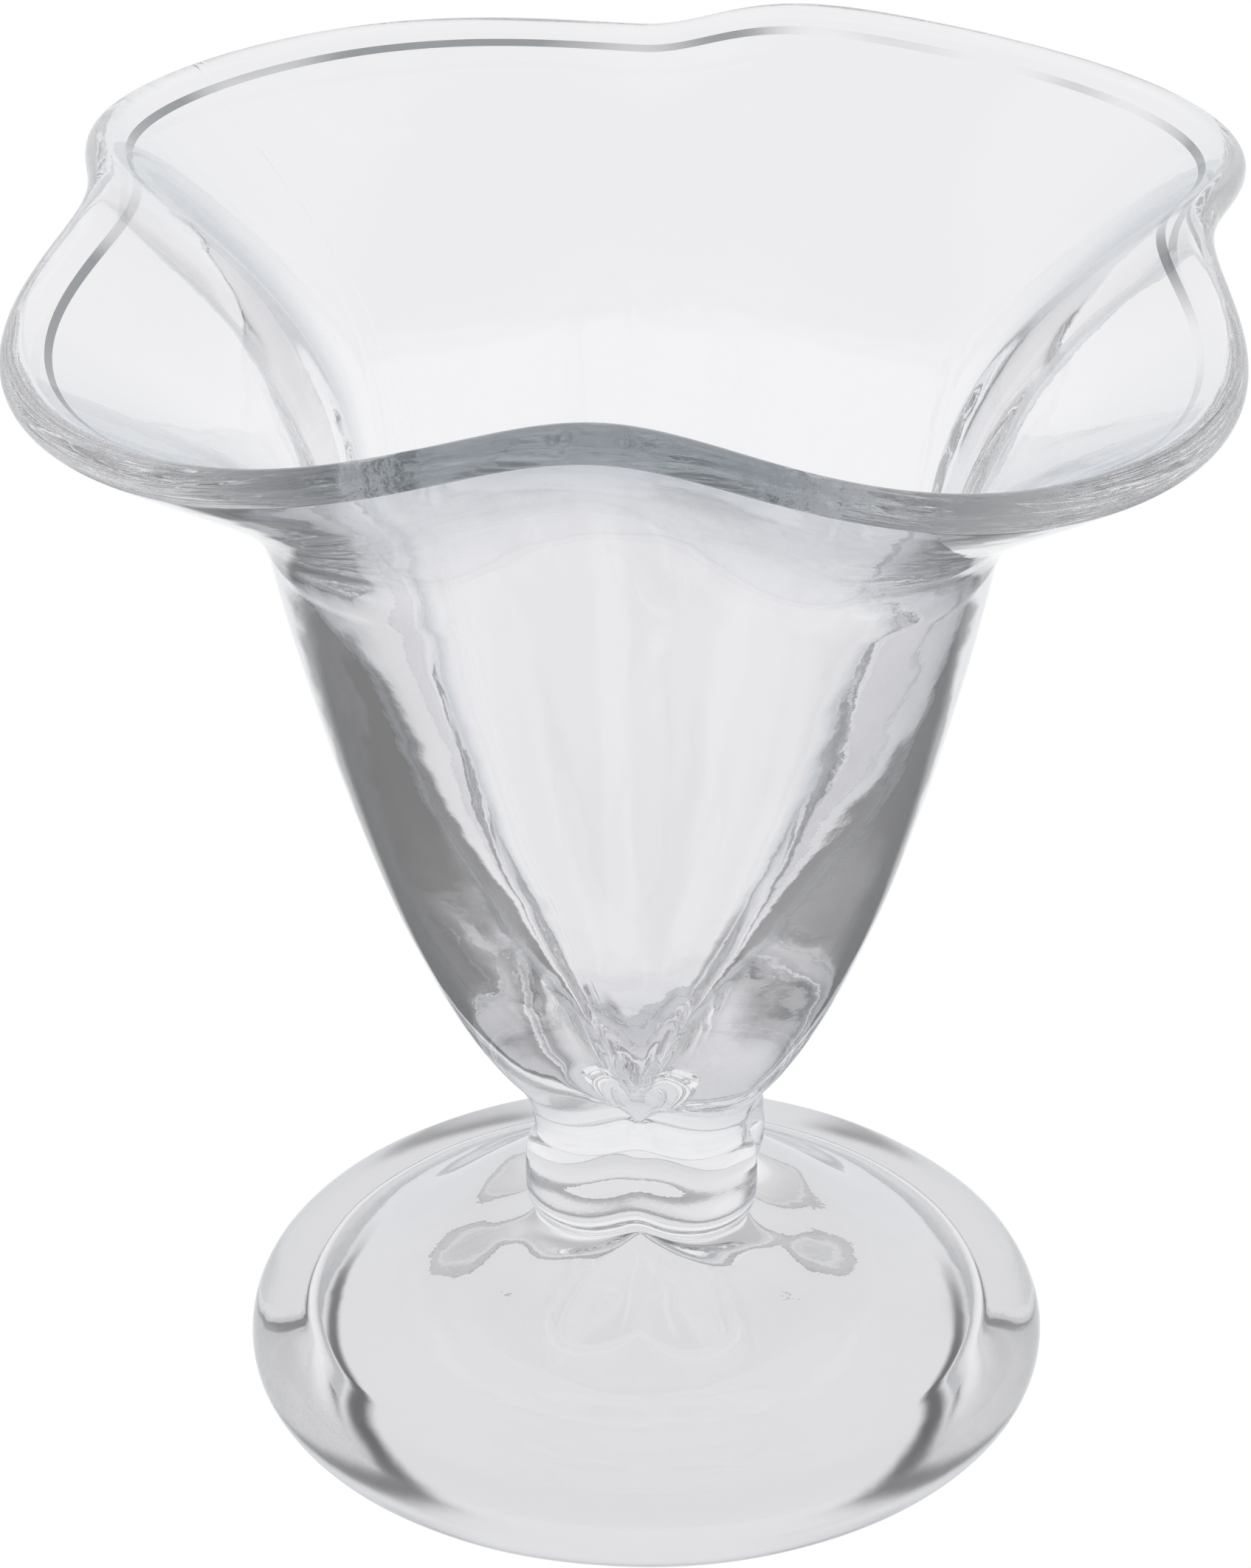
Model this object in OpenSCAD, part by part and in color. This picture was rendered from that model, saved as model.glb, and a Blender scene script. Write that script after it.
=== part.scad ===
// Ruffled parfait glass: a thick clear footed dish whose rim is drawn into four petals.
// Three worked pieces, each a solid of its own: the petalled bowl, the short lobed stem and
// the round hollow foot. They meet on flat seats, the bowl on the stem and the stem on the foot.
// Z is up, the origin is the centre of the standing face, and a dip of the rim faces
// each of -Y (the front), +X, +Y and -X, so the petals lie on the diagonals.

/* [Petals] */
// Number of petals round the bowl and the stem
petals = 4; // [3:1:6]
// How much fuller than a plain wave the petals are at the lip
lip_fullness = 0.4; // [0:0.05:1]
// How much fuller than a plain wave the petals are in the cavity, which sharpens the creases
cavity_fullness = 0.9; // [0:0.05:1]
// How much fuller than a plain wave the lobes of the stem are
stem_fullness = 0.7; // [0:0.05:1]

/* [Foot] */
// Diameter of the foot
foot_d = 80; // [70:1:100]
// Thickness of the foot's rounded edge
foot_edge_t = 9.9; // [7:0.1:11]
// Height of the foot's top, where the stem sits
foot_h = 18.6; // [14:0.1:24]
// Radius of the foot's top, where the stem sits
foot_seat_r = 16.5; // [15:0.1:20]
// Radius of the lower corner of the foot's edge
foot_corner_r = 4.7; // [2:0.1:5]
// Width of the flat ring that the glass stands on
standing_w = 1.2; // [0.8:0.1:6]
// Depth of the step at the edge of the hollow under the foot
hollow_step = 3.9; // [1:0.1:4.5]
// Thickness of the glass between the foot's top and the middle of the hollow
foot_middle_t = 5.6; // [4:0.1:8]

/* [Stem] */
// Height of the stem between the foot's top and the bowl
stem_h = 11.6; // [9:0.1:16]
// Height of the flared skirt at the stem's lower end
skirt_h = 2.3; // [1.5:0.1:4]
// Radius of the stem at a lobe, at its ends
stem_lobe_r = 12.5; // [11:0.1:14]
// Depth of the grooves between the stem's lobes
stem_groove = 3.3; // [1:0.1:4.5]
// How far the stem's barrel swells past its ends
stem_swell = 1.1; // [0.4:0.1:2]

/* [Bowl] */
// Height of the bowl from the stem's top to the middle of the lip on a petal
bowl_h = 90.45; // [80:0.5:120]
// Height of the neck at the bowl's lower end
neck_h = 6; // [4:0.1:8]
// Radius of the bowl at a petal, at the top of the neck
neck_r = 14.6; // [13.5:0.1:17]
// Depth of the outer grooves at the top of the neck
neck_groove = 3.9; // [1:0.1:5]
// How far below the lip the wall starts to flare
flare_h = 22.65; // [18:0.05:30]
// Outer radius of the bowl at a petal, where the flare starts
throat_r = 39.2; // [36:0.1:44]
// Depth of the outer grooves where the flare starts
throat_groove = 7.5; // [2:0.1:9]
// Radius to the middle of the lip on a petal
lip_r = 63.3; // [56:0.1:72]
// Depth of the dips in plan
lip_groove = 12.9; // [4:0.1:16]
// How far the lip rises from a petal to a dip
dip_rise = 4.05; // [0:0.05:8]

/* [Glass thickness] */
// Thickness of the rounded lip
lip_t = 3.8; // [3:0.1:5]
// Thickness of the wall on a petal, where the flare starts
throat_wall = 4.6; // [3.5:0.1:6]
// Thickness of the wall in a crease, where the flare starts
crease_wall = 4.9; // [3.5:0.1:6]
// Thickness of the glass between the stem and the lowest point of the cavity
floor_t = 1.7; // [1:0.1:6]
// Radius of the cavity's lowest point
pit_r = 1.2; // [0.8:0.1:3]

/* [Hand finish] */
// How much higher the front dip stands than the side dips
front_dip_up = 1; // [0:0.1:2]
// How much lower the back dip hangs than the side dips
back_dip_down = 2; // [0:0.1:3]
// How far the lip rises in a crest to the right of the back dip
back_crest_up = 2.4; // [0:0.1:3]

/* [Smoothness] */
// Steps round each petal
petal_steps = 18; // [10:2:24]
// Steps up the bowl's wall
body_steps = 9; // [6:1:12]
// Steps up the flare
flare_steps = 8; // [6:1:10]
// Steps round the lip
lip_steps = 6; // [4:1:8]

/* [Hidden] */
glass = [0.90, 0.93, 0.94, 0.45];
turn = 360;
right = 90;
round_steps = petals * petal_steps;
$fn = 144;

// The neck's straight part, as a share of the neck's height
neck_straight_share = 0.55;

// Heights of the seats and of the bowl's own levels
seat_z = foot_h;
skirt_top_z = seat_z + skirt_h;
seam_z = seat_z + stem_h;
neck_z = seam_z + neck_h;
neck_bend_z = seam_z + neck_h * neck_straight_share;
lip_z = seam_z + bowl_h;
throat_z = lip_z - flare_h;
pit_z = seam_z + floor_t;
lip_round = lip_t / 2;

// Leans of the wall from the vertical, in degrees, and how far each lean is held,
// as a share of the height of the stretch that it belongs to
petal_neck_lean = 42;
groove_neck_lean = 38;
petal_pit_lean = 52;
crease_pit_lean = 48;
petal_throat_lean = 14;
groove_throat_lean = 10;
petal_lip_lean = 55;
dip_lip_lean = 60;
neck_pull_share = 0.25;
throat_pull_share = 0.40;
pit_pull_share = 0.32;
flare_pull_share = 0.42;
lip_pull_share = 0.58;
neck_steps = 4;

// Swell of the stem's barrel: a high power gives it flat flanks and round edges
barrel_power = 3.2;
barrel_steps = 10;

// The skirt's profile turns at this share of its width and of its height, and carries on
// the slope of the foot's top
skirt_corner_share = 0.75;
skirt_rise_share = 0.55;
skirt_steps = 4;

// The foot's top falls steeply at the stem and is level at the edge: how far the curve is
// pulled out and down at its upper end, and how long it is held level at its lower end,
// as shares of the sweep's width and drop
sweep_out_share = 0.30;
sweep_down_share = 0.25;
sweep_level_share = 0.44;
foot_steps = 14;
corner_steps = 8;

// The step at the hollow's edge leans in by this share of its depth
hollow_lean_share = 0.10;
// The hollow's roof: a power of 1 is a plain cone and 2 a dome
hollow_power = 1.1;

// The front and back dips' uneven heights fade out round the lip with this power
hand_power = 4;

// Angles round the lip, from +X, where the crest's tail ends and where its steep side ends
crest_tail = 38;
crest_foot = 95;

function mix(a, b, t) = a + (b - a) * t;

// Curves from the first point to the last, pulled towards the points between them
function bend(a, b, c, t) = mix(mix(a, b, t), mix(b, c, t), t);
function bezier(a, b, c, d, t) = mix(bend(a, b, c, t), bend(b, c, d, t), t);

// A direction in the radius-height plane that leans out from the vertical
function leaning(angle) = [sin(angle), cos(angle)];

// One stretch of wall from lo to hi, leaving and arriving at the given leans
function stretch(lo, lo_lean, lo_share, hi, hi_lean, hi_share, steps) =
    let (rise = hi.y - lo.y)
    [for (i = [0 : steps])
        bezier(lo, lo + leaning(lo_lean) * rise * lo_share,
               hi - leaning(hi_lean) * rise * hi_share, hi, i / steps)];

// A wave round the glass: 0 in a dip or groove, 1 on a petal
function wave(phi) = (1 - cos(petals * phi)) / 2;
function petal_share(phi, fullness) = let (w = wave(phi)) w + fullness * w * (1 - w);

// Everything of a list but its first entry
function rest(list) = [for (i = [1 : len(list) - 1]) list[i]];

// Closed surface through rings of points, with a flat face on the first and last ring
module loft(rings) {
    around = len(rings[0]);
    levels = len(rings);
    points = [for (ring = rings) each ring];
    sides = [for (k = [0 : levels - 2], i = [0 : around - 1])
        let (a = k * around + i, b = k * around + (i + 1) % around)
        each [[a, a + around, b], [b, a + around, b + around]]];
    ends = [[for (i = [0 : around - 1]) i],
            [for (i = [0 : around - 1]) levels * around - 1 - i]];
    polyhedron(points, concat(sides, ends), convexity = 10);
}

// A ring between a line on a petal and a line in a groove, each a [radius, height]
function ring(petal, groove, fullness, uneven) =
    [for (i = [0 : round_steps - 1])
        let (phi = turn * i / round_steps,
             p = mix(groove, petal, petal_share(phi, fullness)))
        [p.x * cos(phi), p.x * sin(phi), p.y + uneven * hand_finish(phi)]];

// The crest's own shape: steep beside the back dip, with a long tail on the petal
function crest(phi) =
    let (s = max(0, min(1, (phi - crest_tail) / (crest_foot - crest_tail))))
    pow(sin(turn / 2 * pow(s, 2)), 2);

// What hand finishing does to the height of the lip: the front dip a little high,
// the back dip low, and a crest beside the back dip
function hand_finish(phi) =
    let (front = pow(max(0, -sin(phi)), hand_power),
         back = pow(max(0, sin(phi)), hand_power),
         dips = (front_dip_up * front - back_dip_down * back) * (1 - wave(phi)))
    dips + back_crest_up * crest(phi);

// Bowl

// The outside of the wall: from the seam straight up, round into the neck, and out to the lip
function outer_line(seam_r, neck, throat, lip, neck_lean, throat_lean, lip_lean) = concat(
    [for (i = [0 : neck_steps - 1])
        bend([seam_r, seam_z], [seam_r, neck_bend_z], neck, i / neck_steps)],
    stretch(neck, neck_lean, neck_pull_share, throat, throat_lean, throat_pull_share, body_steps),
    rest(stretch(throat, throat_lean, flare_pull_share, lip, lip_lean, lip_pull_share, flare_steps)));

// The inside of the wall: from the cavity's lowest point out to the lip
function inner_line(pit, throat, lip, pit_lean, throat_lean, lip_lean) = concat(
    stretch(pit, pit_lean, pit_pull_share, throat, throat_lean, throat_pull_share, body_steps),
    rest(stretch(throat, throat_lean, flare_pull_share, lip, lip_lean, lip_pull_share, flare_steps)));

// The lip's edge: a half circle from the outside of the wall round to the inside
function lip_line(middle, lean) =
    [for (i = [1 : lip_steps - 1])
        let (a = 2 * right * i / lip_steps)
        middle + lip_round * (cos(a) * [cos(lean), -sin(lean)] + sin(a) * leaning(lean))];

function lip_side(middle, lean, side) = middle + side * lip_round * [cos(lean), -sin(lean)];

module bowl() {
    petal_lip = [lip_r, lip_z];
    dip_lip = [lip_r - lip_groove, lip_z + dip_rise];
    petal_throat = [throat_r, throat_z];
    groove_throat = [throat_r - throat_groove, throat_z];

    outer_petal = outer_line(stem_lobe_r, [neck_r, neck_z], petal_throat,
        lip_side(petal_lip, petal_lip_lean, 1), petal_neck_lean, petal_throat_lean, petal_lip_lean);
    outer_groove = outer_line(stem_lobe_r - stem_groove, [neck_r - neck_groove, neck_z],
        groove_throat, lip_side(dip_lip, dip_lip_lean, 1),
        groove_neck_lean, groove_throat_lean, dip_lip_lean);

    inner_petal = inner_line([pit_r, pit_z], petal_throat - [throat_wall, 0],
        lip_side(petal_lip, petal_lip_lean, -1),
        petal_pit_lean, petal_throat_lean, petal_lip_lean);
    inner_crease = inner_line([pit_r, pit_z], groove_throat - [crease_wall, 0],
        lip_side(dip_lip, dip_lip_lean, -1),
        crease_pit_lean, groove_throat_lean, dip_lip_lean);

    edge_petal = lip_line(petal_lip, petal_lip_lean);
    edge_dip = lip_line(dip_lip, dip_lip_lean);

    outer_count = len(outer_petal);
    inner_count = len(inner_petal);
    first_flare_outside = outer_count - 1 - flare_steps;
    first_flare_inside = inner_count - 1 - flare_steps;

    outside = [for (k = [0 : outer_count - 1])
        let (s = max(0, (k - first_flare_outside) / flare_steps))
        ring(outer_petal[k], outer_groove[k],
             mix(stem_fullness, lip_fullness, k / (outer_count - 1)), pow(s, 2))];
    edge = [for (k = [0 : len(edge_petal) - 1])
        ring(edge_petal[k], edge_dip[k], lip_fullness, 1)];
    inside = [for (j = [0 : inner_count - 1])
        let (k = inner_count - 1 - j, s = max(0, (k - first_flare_inside) / flare_steps))
        ring(inner_petal[k], inner_crease[k],
             mix(cavity_fullness, lip_fullness, s), pow(s, 2))];

    color(glass) loft(concat(outside, edge, inside));
}

// Stem

// The skirt's curve from the foot's top in to the stem's end
function skirt(end_r) =
    let (low = [foot_seat_r, seat_z], high = [end_r, skirt_top_z],
         corner = [mix(low.x, high.x, skirt_corner_share), mix(low.y, high.y, skirt_rise_share)])
    [for (i = [0 : skirt_steps - 1]) bend(low, corner, high, i / skirt_steps)];

// The barrel between the skirt and the bowl, with more points near its round edges
function barrel(end_r) =
    [for (i = [0 : barrel_steps])
        let (u = -cos(turn / 2 * i / barrel_steps))
        [end_r + stem_swell * (1 - pow(abs(u), barrel_power)),
         mix(skirt_top_z, seam_z, (1 + u) / 2)]];

module stem() {
    lobe = concat(skirt(stem_lobe_r), barrel(stem_lobe_r));
    groove = concat(skirt(stem_lobe_r - stem_groove), barrel(stem_lobe_r - stem_groove));
    color(glass) loft([for (k = [0 : len(lobe) - 1]) ring(lobe[k], groove[k], stem_fullness, 0)]);
}

// Foot

function arc(centre, radius, from, to) =
    [for (i = [0 : corner_steps])
        let (a = mix(from, to, i / corner_steps)) centre + radius * [cos(a), sin(a)]];

module foot() {
    foot_r = foot_d / 2;
    upper_r = foot_edge_t - foot_corner_r;
    edge_top = [foot_r - upper_r, foot_edge_t];
    seat_rim = [foot_seat_r, seat_z];
    sweep_w = edge_top.x - seat_rim.x;
    sweep_h = seat_rim.y - edge_top.y;
    hollow_r = foot_r - foot_corner_r - standing_w;
    hollow_in = hollow_r - hollow_lean_share * hollow_step;
    roof_h = foot_h - foot_middle_t - hollow_step;

    top_line = [for (i = [0 : foot_steps])
        bezier(seat_rim, seat_rim + [sweep_w * sweep_out_share, -sweep_h * sweep_down_share],
               edge_top - [sweep_w * sweep_level_share, 0], edge_top, i / foot_steps)];
    hollow_line = [for (i = [0 : foot_steps])
        let (out = 1 - i / foot_steps)
        [hollow_in * out, hollow_step + roof_h * (1 - pow(out, hollow_power))]];

    color(glass)
        rotate_extrude()
            polygon(concat([[0, seat_z]], top_line,
                rest(arc([foot_r - upper_r, foot_corner_r], upper_r, right, 0)),
                rest(arc([foot_r - foot_corner_r, foot_corner_r], foot_corner_r, 0, -right)),
                [[hollow_r, 0]], hollow_line));
}

foot();
stem();
bowl();
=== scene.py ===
import math

import bpy
import numpy as np
from mathutils import Matrix, Vector


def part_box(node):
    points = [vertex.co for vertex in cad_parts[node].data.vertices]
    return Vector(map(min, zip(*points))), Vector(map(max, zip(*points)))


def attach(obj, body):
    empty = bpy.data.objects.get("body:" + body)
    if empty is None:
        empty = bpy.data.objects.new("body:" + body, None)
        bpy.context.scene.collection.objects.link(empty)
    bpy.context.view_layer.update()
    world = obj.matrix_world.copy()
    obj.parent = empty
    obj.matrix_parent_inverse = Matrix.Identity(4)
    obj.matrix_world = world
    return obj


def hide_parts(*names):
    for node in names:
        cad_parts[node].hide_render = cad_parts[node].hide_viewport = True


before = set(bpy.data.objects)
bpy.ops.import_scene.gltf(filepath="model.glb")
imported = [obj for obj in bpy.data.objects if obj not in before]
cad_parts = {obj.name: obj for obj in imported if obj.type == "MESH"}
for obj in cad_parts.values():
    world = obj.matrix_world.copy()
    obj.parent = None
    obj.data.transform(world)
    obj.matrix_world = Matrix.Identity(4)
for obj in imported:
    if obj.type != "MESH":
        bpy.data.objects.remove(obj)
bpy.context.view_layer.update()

bl_info = {
    "name": "Ruffled parfait glass",
    "version": (1, 0, 0),
    "blender": (4, 5, 0),
    "location": "3D View > Sidebar > Parfait",
    "description": "Makes a clear pressed parfait glass with four petals, and its studio",
    "category": "Object",
}

BODY = "root"
MM = 0.001

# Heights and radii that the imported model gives
FOOT_LOW, FOOT_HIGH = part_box("foot")
STEM_LOW, STEM_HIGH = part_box("stem")
BOWL_LOW, BOWL_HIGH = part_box("bowl")


def size(name, description, millimetres, least=0.0):
    """A length property whose default is given in millimetres."""
    return bpy.props.FloatProperty(
        name=name,
        description=description,
        default=millimetres * MM,
        min=least * MM,
        unit="LENGTH",
        precision=5,
    )


def share(name, description, value, most=1.0):
    """A plain number between 0 and most."""
    return bpy.props.FloatProperty(
        name=name, description=description, default=value, min=0.0, max=most, subtype="FACTOR"
    )


def lean(name, description, degrees):
    """How far a wall leans out from the vertical."""
    return bpy.props.FloatProperty(
        name=name, description=description, default=math.radians(degrees), subtype="ANGLE"
    )


def steps(name, description, count):
    """How many rows or columns of points a surface has."""
    return bpy.props.IntProperty(name=name, description=description, default=count, min=3)


class BowlSizes(bpy.types.PropertyGroup):
    """Sizes of the bowl: radii and heights on a petal, and how deep the grooves are."""

    petals: steps("Petals", "Number of petals round the bowl and lobes round the stem", 4)
    neck_h: size("Neck height", "Height of the neck at the bowl's lower end", 6)
    neck_r: size("Neck radius", "Radius on a petal at the top of the neck", 14.6)
    neck_groove: size("Neck groove", "Depth of the outer grooves at the top of the neck", 3.9)
    flare_h: size("Flare height", "How far below the lip the wall starts to flare", 22.65)
    throat_r: size("Throat radius", "Outer radius on a petal where the flare starts", 39.2)
    throat_groove: size("Throat groove", "Depth of the grooves where the flare starts", 7.5)
    lip_h: size("Lip height", "Height of the lip on a petal above the stem's top", 90.45)
    lip_r: size("Lip radius", "Radius to the middle of the lip on a petal", 63.3)
    lip_groove: size("Lip dips", "Depth of the lip's dips in plan", 12.9)
    dip_rise: size("Dip rise", "How far the lip rises from a petal to a dip", 4.05)
    lip_t: size("Lip thickness", "Thickness of the rounded lip", 3.8)
    throat_wall: size("Wall", "Thickness of the wall on a petal where the flare starts", 4.6)
    crease_wall: size("Crease wall", "Thickness of the wall in a crease at the same level", 4.9)
    floor_t: size("Floor", "Glass between the stem and the cavity's lowest point", 1.7)
    pit_r: size("Pit radius", "Radius of the cavity's lowest point", 1.2)
    front_dip_up: size("Front dip", "How much higher the front dip stands", 1)
    back_dip_down: size("Back dip", "How much lower the back dip hangs", 2)
    back_crest_up: size("Back crest", "Rise of the lip to the right of the back dip", 2.4)
    lip_fullness: share("Lip fullness", "Fuller petals than a plain wave, at the lip", 0.4)
    cavity_fullness: share("Cavity fullness", "The same in the cavity", 0.9)


class StemSizes(bpy.types.PropertyGroup):
    """Sizes of the stem between the foot and the bowl."""

    skirt_h: size("Skirt height", "Height of the flared skirt on the foot", 2.3)
    lobe_r: size("Lobe radius", "Radius at a lobe, at the stem's ends", 12.5)
    groove: size("Groove", "Depth of the grooves between the lobes", 3.3)
    swell: size("Swell", "How far the barrel swells past its ends", 1.1)
    fullness: share("Fullness", "Fuller lobes than a plain wave", 0.7)


class FootSizes(bpy.types.PropertyGroup):
    """Sizes of the round foot."""

    edge_t: size("Edge thickness", "Thickness of the foot's rounded edge", 9.9)
    seat_r: size("Seat radius", "Radius of the foot's top, where the stem sits", 16.5)
    corner_r: size("Lower corner", "Radius of the lower corner of the foot's edge", 4.7)
    standing_w: size("Standing ring", "Width of the flat ring that the glass stands on", 1.2)
    hollow_step: size("Hollow's step", "Depth of the step at the hollow's edge", 3.9)
    middle_t: size("Middle", "Thickness of the glass over the middle of the hollow", 5.6)


class GlassLook(bpy.types.PropertyGroup):
    """The finish of the glass and the fineness of its surface."""

    tint: bpy.props.FloatVectorProperty(
        name="Tint",
        description="Colour that the glass takes from white light at each of its surfaces",
        subtype="COLOR",
        size=4,
        default=(0.903, 0.903, 0.918, 1.0),
    )
    # Partly the longer way through the glass, partly painted shade: the glass is darkened by the slant at
    # which it is seen, which gives its edges dark outlines
    edge_tint_and_painted_shade: bpy.props.FloatVectorProperty(
        name="Edge tint",
        description="The same where the light slants in and takes a longer way through the glass",
        subtype="COLOR",
        size=4,
        default=(0.46, 0.50, 0.55, 1.0),
    )
    neck_tint: bpy.props.FloatVectorProperty(
        name="Neck tint",
        description="The same in the neck, where the glass is solid and thickest",
        subtype="COLOR",
        size=4,
        default=(0.80, 0.805, 0.825, 1.0),
    )
    # Painted shade: a dark line on one row of faces inside the lip, standing for the dark line that
    # refraction gives there
    lip_line_painted_shade: bpy.props.FloatVectorProperty(
        name="Lip line tint",
        description="Colour of the fine line inside the lip, where its roll ends on the wall",
        subtype="COLOR",
        size=4,
        default=(0.12, 0.13, 0.14, 1.0),
    )
    # Painted shade: the lip is darkened towards the front, where it is seen edge on
    front_lip_painted_shade: bpy.props.FloatVectorProperty(
        name="Front lip tint",
        description="Colour of the lip at the front, where it is seen edge on",
        subtype="COLOR",
        size=4,
        default=(0.13, 0.155, 0.18, 1.0),
    )
    index: bpy.props.FloatProperty(
        name="Refraction", description="Index of refraction of soda-lime glass", default=1.52
    )
    roughness: share("Roughness", "Roughness of the fire-polished surface", 0.012)
    rubbed: share("Rubbed foot", "Roughness that use has added to the foot's lower corner", 0.2)
    rubbed_h: size("Rubbed height", "How far up the foot it is rubbed", 8)
    ripple: size("Ripple", "How far the cooled surface ripples in and out", 0.05)
    around: steps("Columns", "Points round the glass, a multiple of the petals", 360)


class Studio(bpy.types.PropertyGroup):
    """The pale floor, the soft light and the camera."""

    azimuth: lean("Azimuth", "Camera's turn to the right of the front dip", 4.883)
    elevation: lean("Elevation", "Camera's height above the horizon", 28.312)
    roll: lean("Roll", "Camera's roll", -0.2086)
    distance: size("Distance", "From the camera to the middle of its orbit", 574.87)
    aim_h: size("Aim height", "Height of the point that the camera looks at", 66.04)
    aim_left: size("Aim shift", "How far left of the axis the camera looks", 1.88)
    lens: bpy.props.FloatProperty(
        name="Lens", description="Focal length", default=136.66, subtype="DISTANCE_CAMERA"
    )
    floor_r: size("Floor radius", "Radius of the pale floor", 4000)
    floor_gap: size("Floor gap", "Gap under the glass, so that it and the floor don't coincide", 0.03)
    near_level: share("Near side", "Brightness of the room on the camera's side, of that behind", 0.5)
    shade_across: size("Shade's width", "Half the width of the floor's shade under the foot", 39.5)
    shade_along: size("Shade's length", "Half the length of the floor's shade, front to back", 42.5)
    shade_back: size("Shade's shift", "How far behind the glass's axis the shade's middle lies", 6)
    contact_r: size("Contact", "Radius of the shadow's line where the glass stands on the floor", 32.2)
    # Painted shadow: the floor's colour along the line where the glass stands on it
    painted_contact_shadow: bpy.props.FloatVectorProperty(
        name="Contact shadow",
        description="Colour of the floor where the glass stands on it",
        subtype="COLOR",
        size=4,
        default=(0.12, 0.12, 0.13, 1.0),
    )
    # Painted shade: the floor's colour under the foot
    painted_shade_under_foot: bpy.props.FloatVectorProperty(
        name="Shade under the foot",
        description="Colour of the floor under the foot",
        subtype="COLOR",
        size=4,
        default=(0.84, 0.84, 0.85, 1.0),
    )


# Curves in the plane of radius and height


def mix(a, b, t):
    return a + (b - a) * t


def bend(a, b, c, t):
    """A curve from a to c, pulled towards b."""
    return mix(mix(a, b, t), mix(b, c, t), t)


def bezier(a, b, c, d, t):
    return mix(bend(a, b, c, t), bend(b, c, d, t), t)


def column(count, ends=(0.0, 1.0)):
    """Shares from the first to the last of a curve's points, upright so that points multiply."""
    return np.linspace(ends[0], ends[1], count + 1)[:, None]


def leaning(angle):
    return np.array([math.sin(angle), math.cos(angle)])


def stretch(low, low_lean, low_share, high, high_lean, high_share, count):
    """A stretch of wall that leaves and arrives at the given leans."""
    rise = high[1] - low[1]
    return bezier(
        low,
        low + leaning(low_lean) * rise * low_share,
        high - leaning(high_lean) * rise * high_share,
        high,
        column(count),
    )


def arc(centre, radius, start, end, count):
    angles = np.radians(column(count, (start, end)))
    return centre + radius * np.hstack([np.cos(angles), np.sin(angles)])


# Leans of the wall from the vertical, as in the construction
PETAL_NECK, GROOVE_NECK = math.radians(42), math.radians(38)
PETAL_PIT, CREASE_PIT = math.radians(52), math.radians(48)
PETAL_THROAT, GROOVE_THROAT = math.radians(14), math.radians(10)
PETAL_LIP, DIP_LIP = math.radians(55), math.radians(60)

# How far each lean is held, as shares of the stretch's height
NECK_PULL, THROAT_PULL, PIT_PULL, FLARE_PULL, LIP_PULL = 0.25, 0.40, 0.32, 0.42, 0.58
NECK_STRAIGHT = 0.55

# Shares and powers of the stem's and the foot's curves
SKIRT_CORNER, SKIRT_RISE, BARREL_POWER = 0.75, 0.55, 3.2
SWEEP_OUT, SWEEP_DOWN, SWEEP_LEVEL = 0.30, 0.25, 0.44
HOLLOW_LEAN, HOLLOW_POWER = 0.10, 1.1
HAND_POWER = 4
CREST_TAIL, CREST_FOOT = math.radians(38), math.radians(95)

# Rows of points along each stretch of the surface
NECK_ROWS, BODY_ROWS, FLARE_ROWS, LIP_ROWS = 14, 60, 48, 24
SKIRT_ROWS, BARREL_ROWS = 12, 32
HOLLOW_ROWS, STEP_ROWS, RING_ROWS, CORNER_ROWS, SWEEP_ROWS = 30, 3, 2, 16, 40
POLE_R = 0.15 * MM

# Points lower than this lie on the flat standing ring, which has no ripple
LEVEL_H = 0.02 * MM

# Which row of faces inside the lip holds its painted dark line
LINE_ROW = 2


class Line:
    """Rows of points up the glass: on a petal, in a groove, and how full and uneven each row is."""

    def __init__(self, petal, groove, fullness, uneven):
        self.petal = petal
        self.groove = groove
        self.fullness = np.broadcast_to(fullness, (len(petal),))
        self.uneven = np.broadcast_to(uneven, (len(petal),))

    def rest(self):
        """All rows but the first, which the line before holds."""
        return Line(self.petal[1:], self.groove[1:], self.fullness[1:], self.uneven[1:])


def together(lines):
    return Line(
        np.vstack([line.petal for line in lines]),
        np.vstack([line.groove for line in lines]),
        np.concatenate([line.fullness for line in lines]),
        np.concatenate([line.uneven for line in lines]),
    )


def foot_line(foot):
    """From the middle of the hollow underneath, out round the edge and in to the stem."""
    radius = FOOT_HIGH.x
    corner_x = radius - foot.corner_r
    upper_r = foot.edge_t - foot.corner_r
    hollow_r = corner_x - foot.standing_w
    hollow_in = hollow_r - HOLLOW_LEAN * foot.hollow_step
    roof_h = FOOT_HIGH.z - foot.middle_t - foot.hollow_step
    out = column(HOLLOW_ROWS)
    hollow = np.hstack([hollow_in * out, foot.hollow_step + roof_h * (1 - out**HOLLOW_POWER)])
    hollow[0, 0] = POLE_R
    ring = mix(np.array([hollow_r, 0.0]), np.array([corner_x, 0.0]), column(RING_ROWS))
    step = mix(hollow[-1], ring[0], column(STEP_ROWS))
    lower = arc(np.array([corner_x, foot.corner_r]), foot.corner_r, -90, 0, CORNER_ROWS)
    upper = arc(np.array([radius - upper_r, foot.corner_r]), upper_r, 0, 90, CORNER_ROWS)
    edge = upper[-1]
    rim = np.array([foot.seat_r, FOOT_HIGH.z])
    width, drop = edge[0] - rim[0], rim[1] - edge[1]
    sweep = bezier(
        edge,
        edge - np.array([width * SWEEP_LEVEL, 0.0]),
        rim + np.array([width * SWEEP_OUT, -drop * SWEEP_DOWN]),
        rim,
        column(SWEEP_ROWS),
    )
    points = np.vstack([hollow, step[1:], ring[1:], lower[1:], upper[1:], sweep[1:]])
    return Line(points, points, 0.0, 0.0)


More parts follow.
